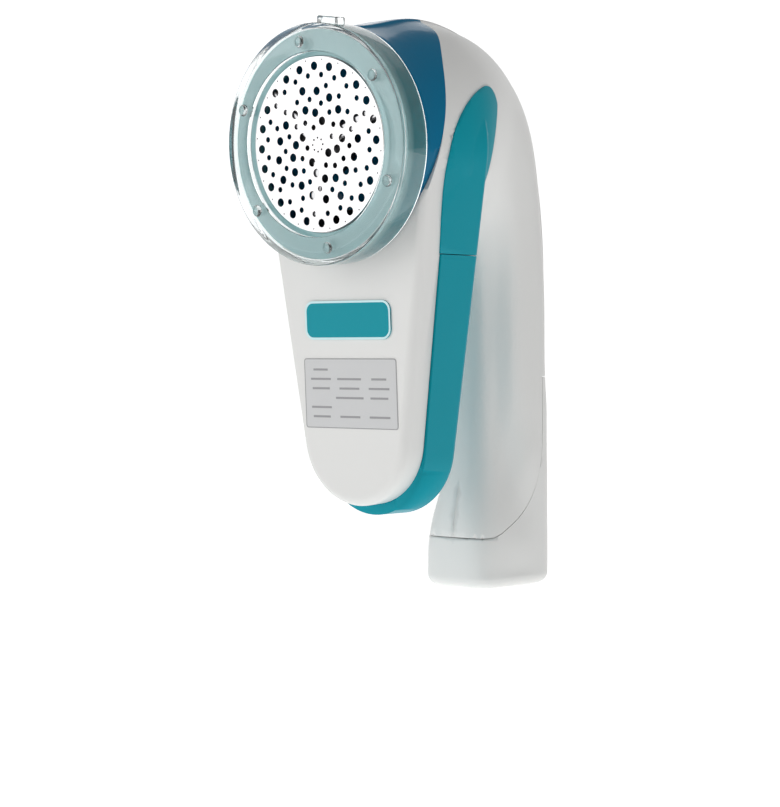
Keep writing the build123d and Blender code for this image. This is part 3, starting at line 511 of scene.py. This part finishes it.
def spacer_ring():
    """Clear ring that sets the foil's distance from the cloth."""
    inner = SPACER_RADIUS - SPACER_WALL
    bm = bmesh.new()
    turned_ring(bm, [(SPACER_BORE, 0), (SPACER_RADIUS, 0), (SPACER_RADIUS, -SPACER_LENGTH),
                     (inner, -SPACER_LENGTH), (inner, -SPACER_FACE), (SPACER_BORE, -SPACER_FACE)], 0.45 * MM)
    spacer_pips(bm)
    spacer_tab(bm)
    bmesh.ops.transform(bm, matrix=head_place(), verts=bm.verts)
    piece = keep("spacer_ring_clear", bm, FINISHES["clear_plastic"],
                 body_of("spacer_ring"), 40.0)
    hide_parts("spacer_ring")
    return piece


def front_lean():
    """Angle by which the lobe's front falls back towards its foot."""
    return math.asin(abs(Vector(joint_named("container_slide")["axis"]).normalized().y))


def lean_back(bm, node):
    """Lay what was drawn upright at a node's front on its leaning face."""
    low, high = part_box(node)
    bmesh.ops.rotate(bm, verts=bm.verts, cent=(0, low.y, high.z),
                     matrix=Matrix.Rotation(front_lean(), 3, "X"))


def raised_bar(bm, x, z, width, height, face, thickness):
    """A thin flat bar on a face that looks along -Y."""
    made = bmesh.ops.create_cube(bm, size=1.0)["verts"]
    bmesh.ops.scale(bm, verts=made, vec=(width, thickness, height))
    bmesh.ops.translate(bm, verts=made, vec=(x, face - thickness / 2, z))


def label_bars():
    """Plain grey bars where a rating plate's lines would be."""
    low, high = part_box("rating_label")
    width, height = high.x - low.x, high.z - low.z
    bm = bmesh.new()
    for row in range(6):
        z = high.z - height * (0.16 + 0.135 * row)
        for start, length in ((0.07, 0.22), (0.34, 0.30), (0.70, 0.22)):
            if (row + int(start * 10)) % 4 == 3:
                continue
            x = low.x + width * (start + length / 2)
            raised_bar(bm, x, z, width * length * (0.72 + 0.28 * ((row * 5 + int(start * 7)) % 3) / 2),
                       height * 0.030, low.y, 0.03 * MM)
    lean_back(bm, "rating_label")
    return keep("label_bars", bm, INK, body_of("rating_label"))


def trim_border(name, node, corner, width, thickness, material):
    """Thin raised rim round a flat trim's edge."""
    low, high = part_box(node)
    upright = (high.z - low.z) / math.cos(front_lean())
    bm = bmesh.new()
    sheet = bmesh.ops.create_grid(bm, x_segments=1, y_segments=1, size=0.5)["verts"]
    bmesh.ops.scale(bm, verts=sheet, vec=(high.x - low.x, upright, 1))
    bmesh.ops.bevel(bm, geom=bm.verts[:], offset=corner, affect="VERTICES", segments=8, profile=0.5,
                    material=-1)
    bmesh.ops.rotate(bm, verts=bm.verts, cent=(0, 0, 0), matrix=Matrix.Rotation(math.radians(90), 3, "X"))
    middle = bm.faces[:]
    bmesh.ops.inset_individual(bm, faces=middle, thickness=width, use_even_offset=True)
    bmesh.ops.delete(bm, geom=middle, context="FACES_ONLY")
    bmesh.ops.solidify(bm, geom=bm.faces[:], thickness=thickness)
    place = ((low.x + high.x) / 2, low.y - 0.02 * MM, high.z - upright / 2)
    bmesh.ops.translate(bm, verts=bm.verts, vec=place)
    bmesh.ops.recalc_face_normals(bm, faces=bm.faces)
    lean_back(bm, node)
    return keep(name, bm, material, body_of(node))


# ======== make everything ========
camera()
studio_sweep()
studio_light()
finish_cad_nodes()
for part in SMOOTHED:
    smoothed_copy(part, SMOOTH_ANGLE)
spacer_ring()
label_bars()
trim_border("badge_border", "badge", 3.0 * MM, 0.6 * MM, 0.2 * MM, BORDER)
trim_border("label_border", "rating_label", 0.8 * MM, 0.25 * MM, 0.04 * MM, INK)
